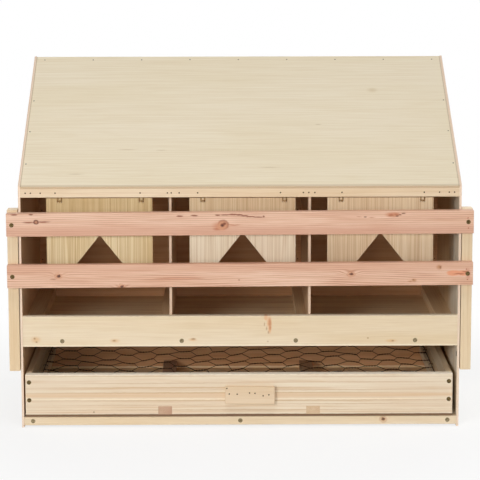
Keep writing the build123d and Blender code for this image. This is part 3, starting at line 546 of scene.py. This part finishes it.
lowerRail = dict(
    pinkRail, cut=(4.4, 1.8, 0.2), pith=(0.0, -80.0, 210.0),
    knots=[(-363.2, 315.4, 3.0, 2.6), (-236.6, 294.4, 3.0, 2.2), (221.8, 318.0, 3.2, 2.8)],
    marks=[
        stainOrPaintedLight("#c89478", 0.45, 0.3, (0.0, 334.0, endless, 14.0)),  # darker along the top
        # a lens of dark grain with a pale middle
        stainOrPaintedLight("#b98064", 0.75, 0.5, (-122.0, 310.0, 60.0, 3.4)),
        stainOrPaintedLight("#d8a68a", 0.6, 0.3, (-118.0, 310.0, 40.0, 1.4)),
        stainOrPaintedLight("#9a6244", 0.8, 0.2, (-2.0, 306.6, 2.4, 2.2), (-374.0, 309.0, 9.0, 2.2)),
        # two olive pin knots
        stainOrPaintedLight("#b07648", 0.8, 0.1, (397.8, 331.5, 8.0, 7.5), (347.8, 305.0, 8.0, 5.0),
              (340.0, 303.0, 7.0, 3.0)),
        stainOrPaintedLight("#855330", 0.75, 0.2, (400.6, 331.0, 3.0, 4.4), (346.0, 306.0, 3.0, 2.0)),
        # an orange resin streak that ends at the right screw
        stainOrPaintedLight("#dc8a5e", 0.75, 0.6, (428.0, 319.5, 18.0, 7.0), (446.0, 319.5, 14.0, 6.5)),
        stainOrPaintedLight("#b4603e", 0.6, 0.1, (456.0, 318.0, 8.0, 15.0)),
        stainOrPaintedLight("#9a5032", 0.75, 0.2, (438.0, 318.0, 18.0, 2.0), (450.0, 322.0, 9.0, 2.0)),
        stainOrPaintedLight(*railBradDots, (452.7, 327.0, railBrad, railBrad), (455.0, 306.3, railBrad, railBrad))])
dress(planedPine("sawnPinkPineUpper", upperRail), "upper_perch_rail")
dress(planedPine("sawnPinkPineLower", lowerRail), "lower_perch_rail")
print("rails dressed")

# fasteners and wire
zincPlate = {
    "bright": "#867346", "dull": "#604d2b", "rust": "#302210", "blotch": 2.6, "roughness": (0.42, 0.7),
    "metallic": 0.7, "bump": 0.2, "bumpDeep": 0.1}
dress(dulledSteel("yellowZincPlatedSteel", zincPlate),
      "pivot_bolts", "pivot_washers", "bolt_nuts", "stop_bolts", "perch_screws", "drawer_screws")
dullZinc = dict(zincPlate, bright="#a89a7a", dull="#88785a", rust="#56462e")
dress(dulledSteel("dulledZincPlatedSteel", dullZinc), "case_screws")
bradSteel = dict(
    zincPlate, bright="#58422c", dull="#463422", rust="#332415",
    blotch=2.0, roughness=(0.5, 0.7), metallic=0.6)
dress(dulledSteel("bareBradSteel", bradSteel), "roof_nails", "handle_nails")
drawnWire = dict(
    zincPlate, bright="#6f5236", dull="#513923", rust="#362111",
    blotch=6.0, roughness=(0.6, 0.7), metallic=0.9)
wireFinish = dulledSteel("dullGalvanisedWire", drawnWire)
dress(wireFinish, "netting_staples")
brassWire = dict(
    zincPlate, bright="#b8935c", dull="#a07c4a", rust="#7e5c34",
    blotch=4.0, roughness=(0.45, 0.7), metallic=0.6)
dress(dulledSteel("brassedSteelWire", brassWire), "flap_hangers", "left_flap_staples", "middle_flap_staples",
      "right_flap_staples")
print("metal dressed")

# the netting: pairs of wires twisted round each other, then parting to the next row; sizes in mm
netting = {
    "columnPitch": 40.0, "row": 35.0, "twistHalf": 12.0, "turns": 2.0, "wire": 0.7, "steps": 14,
    "lean": 6.0, "leanUp": 0.3, "sag": 2.0, "wave": 2.4, "waveLength": 170.0,
    "waves": ((1.0, 0.0), (1.7, 0.0), (0.52, 1.3), (2.3, -2.3)),  # waves per length along x and y
    "edgeStepsLong": 20, "edgeStepsDeep": 10, "seed": 12,
}


def twistedNetting(net):
    low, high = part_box("egg_netting")
    middle = (low + high) / 2
    halfLong = (high.x - low.x) / 2 / mm - net["wire"]
    halfDeep = (high.y - low.y) / 2 / mm - net["wire"]
    level = low.z / mm + 2 * net["wire"]
    rng = random.Random(net["seed"])
    lastColumn = int(halfLong // net["columnPitch"])
    columns = range(-lastColumn, lastColumn + 1)
    lastRow = int(halfDeep // net["row"])
    leans = {}
    for column in columns:
        for row in range(-lastRow, lastRow + 1):
            leans[column, row] = [rng.uniform(-net["lean"], net["lean"]) for side in range(3)]
    phases = [rng.uniform(0.0, 2 * math.pi) for wave in net["waves"]]
    turnPerMm = 2 * math.pi / net["waveLength"]
    curve = bpy.data.curves.new("eggNettingWires", "CURVE")
    curve.dimensions = "3D"
    curve.bevel_depth = net["wire"] * mm
    curve.bevel_resolution = 2
    curve.use_fill_caps = True

    def layWire(points):
        spline = curve.splines.new("POLY")
        spline.points.add(len(points) - 1)
        for place, (x, y, z) in zip(spline.points, points):
            x = min(max(x, -halfLong), halfLong)
            y = min(max(y, -halfDeep), halfDeep)
            place.co = (middle.x + x * mm, middle.y + y * mm, (level + z) * mm, 1.0)

    def sagAt(x, y):
        across = 1 - (x / halfLong) ** 8  # held flat along its edges
        deep = 1 - (y / halfDeep) ** 4
        height = 0.0
        for (alongX, alongY), phase in zip(net["waves"], phases):
            height += math.sin(turnPerMm * (alongX * x + alongY * y) + phase)
        return (net["wave"] * height / 2 - net["sag"]) * across * deep

    for wire in range(-lastRow, lastRow):
        points = [(-halfLong, (wire + 0.5) * net["row"], 0.0)]
        for column in columns:
            row = wire if (wire + column) % 2 else wire + 1
            side = 1.0 if row == wire else -1.0  # which of the pair's two wires this is
            driftX, driftY, driftZ = leans[column, row]
            for step in range(net["steps"] + 1):
                part = step / net["steps"]
                turn = part * net["turns"] * 2 * math.pi
                x = column * net["columnPitch"] + driftX + (2 * part - 1) * net["twistHalf"]
                y = row * net["row"] + driftY + side * net["wire"] * math.cos(turn)
                lift = net["leanUp"] * driftZ * (1 - (y / halfDeep) ** 2)
                points.append((x, y, sagAt(x, y) + lift + side * net["wire"] * math.sin(turn)))
        points.append((halfLong, (wire + 0.5) * net["row"], 0.0))
        layWire(points)
    stepsLong = net["edgeStepsLong"]
    stepsDeep = net["edgeStepsDeep"]
    for side in (-1, 1):
        layWire([(x * halfLong / stepsLong, side * halfDeep, 0.0) for x in range(-stepsLong, stepsLong + 1)])
        layWire([(side * halfLong, y * halfDeep / stepsDeep, 0.0) for y in range(-stepsDeep, stepsDeep + 1)])
    piece = bpy.data.objects.new("egg_netting_wires", curve)
    bpy.context.scene.collection.objects.link(piece)
    curve.materials.append(wireFinish)
    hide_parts("egg_netting")
    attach(piece, "drawer")


twistedNetting(netting)
print("netting laid")

# camera: a long lens, in front and a little above, as in the picture
cameraLook = {
    "place": (-0.0307, -4.48085, 1.093), "yaw": 0.41, "pitch": 9.42, "roll": -0.10,
    "lens": 162.1, "sensor": 36.0, "farEnd": 60.0}
yaw, pitch, roll = (math.radians(cameraLook[turn]) for turn in ("yaw", "pitch", "roll"))
forward = Vector((math.sin(yaw) * math.cos(pitch), math.cos(yaw) * math.cos(pitch), -math.sin(pitch)))
level = Vector((math.cos(yaw), -math.sin(yaw), 0.0))
upright = level.cross(forward)
rightward = level * math.cos(roll) + upright * math.sin(roll)
upward = upright * math.cos(roll) - level * math.sin(roll)
cameraData = bpy.data.cameras.new("frontCamera")
cameraData.lens = cameraLook["lens"]
cameraData.sensor_width = cameraLook["sensor"]
cameraData.clip_end = cameraLook["farEnd"]
camera = bpy.data.objects.new("frontCamera", cameraData)
turned = Matrix((rightward, upward, -forward)).transposed().to_4x4()
camera.matrix_world = Matrix.Translation(cameraLook["place"]) @ turned
bpy.context.scene.collection.objects.link(camera)
bpy.context.scene.camera = camera

# light: an even white room, a soft lamp from the front left, one above, a bright wall in front, and two lamps
# for the back and the right side, which the front ones leave in shade
roomStrength = 0.15
aimPoint = Vector((0.0, -0.1, 0.3))
lamps = {
    "softLamp": {"shape": "RECTANGLE", "watts": 82.0, "place": (-2.15, -4.45, 1.45), "size": (1.5, 0.9)},
    "frontWall": {"shape": "RECTANGLE", "watts": 69.0, "place": (-0.5, -5.4, 1.25), "size": (7.0, 1.3)},
    "topLamp": {"shape": "DISK", "watts": 81.0, "place": (0.0, -1.9, 4.4), "size": (2.6, 2.6)},
    "backLamp": {"shape": "RECTANGLE", "watts": 125.0, "place": (0.6, 5.2, 1.7), "size": (4.5, 2.2)},
    "rightLamp": {"shape": "RECTANGLE", "watts": 80.0, "place": (4.8, 0.9, 1.5), "size": (2.5, 2.0)},
}
for name, look in lamps.items():
    lampData = bpy.data.lights.new(name, "AREA")
    lampData.shape = look["shape"]
    lampData.size, lampData.size_y = look["size"]
    lampData.energy = look["watts"]
    lamp = bpy.data.objects.new(name, lampData)
    lamp.location = look["place"]
    lamp.rotation_euler = (aimPoint - lamp.location).to_track_quat("-Z", "Y").to_euler()
    bpy.context.scene.collection.objects.link(lamp)


# 1 where a surface is seen, straight on, mirrored or through glass, and 0 for the light that it gives
def seenAtAll(tree):
    sight = addNode(tree, "LightPath")
    seen = sight.outputs["Is Camera Ray"]
    for ray in ("Is Glossy Ray", "Is Transmission Ray"):
        seen = addNode(tree, "Math", {"operation": "MAXIMUM"}, {0: seen, 1: sight.outputs[ray]}).outputs[0]
    return seen


world = bpy.data.worlds.new("whiteRoom")
bpy.context.scene.world = world
world.use_nodes = True
roomTree = world.node_tree
roomTree.nodes.clear()
roomLight = addNode(roomTree, "Background", {}, {"Color": white, "Strength": roomStrength})
whiteBack = addNode(roomTree, "Background", {}, {"Color": white, "Strength": 1.0})
roomShown = addNode(roomTree, "MixShader", {}, {0: seenAtAll(roomTree), 1: roomLight, 2: whiteBack})
addNode(roomTree, "OutputWorld", {}, {"Surface": roomShown})

# floor: a pale matt sheet that goes over to plain white away from the box
floorLook = {"size": 9.0, "drop": 0.2, "tone": "#f4f3f1", "near": 0.5, "far": 1.2, "lift": 0.78}
floorMesh = bpy.data.meshes.new("paleFloor")
corner = floorLook["size"]
corners = [(-corner, -corner, 0.0), (corner, -corner, 0.0), (corner, corner, 0.0), (-corner, corner, 0.0)]
floorMesh.from_pydata(corners, [], [(0, 1, 2, 3)])
floor = bpy.data.objects.new("paleFloor", floorMesh)
floor.location.z = -floorLook["drop"] * mm
bpy.context.scene.collection.objects.link(floor)
floorFinish, floorTree = newFinish("paleMattSheet")
floorPlace = addNode(floorTree, "TexCoord").outputs["Object"]
reach = addNode(floorTree, "VectorMath", {"operation": "LENGTH"}, {0: floorPlace}).outputs["Value"]
fade = addNode(floorTree, "MapRange", {"interpolation_type": "SMOOTHSTEP"}, {
    "Value": reach, "From Min": floorLook["near"], "From Max": floorLook["far"],
    "To Min": floorLook["lift"], "To Max": 1.0})
whitening = addNode(floorTree, "Math", {"operation": "MULTIPLY"}, {
    0: fade.outputs[0], 1: seenAtAll(floorTree)})
sheet = addNode(floorTree, "BsdfDiffuse", {}, {"Color": hexColour(floorLook["tone"])})
glow = addNode(floorTree, "Emission", {}, {"Color": white, "Strength": 1.0})
floorShown = addNode(floorTree, "MixShader", {}, {0: whitening, 1: sheet, 2: glow})
addNode(floorTree, "OutputMaterial", {}, {"Surface": floorShown})
floorMesh.materials.append(floorFinish)
bpy.context.scene.view_settings.view_transform = "Standard"
print("camera, light and floor set")
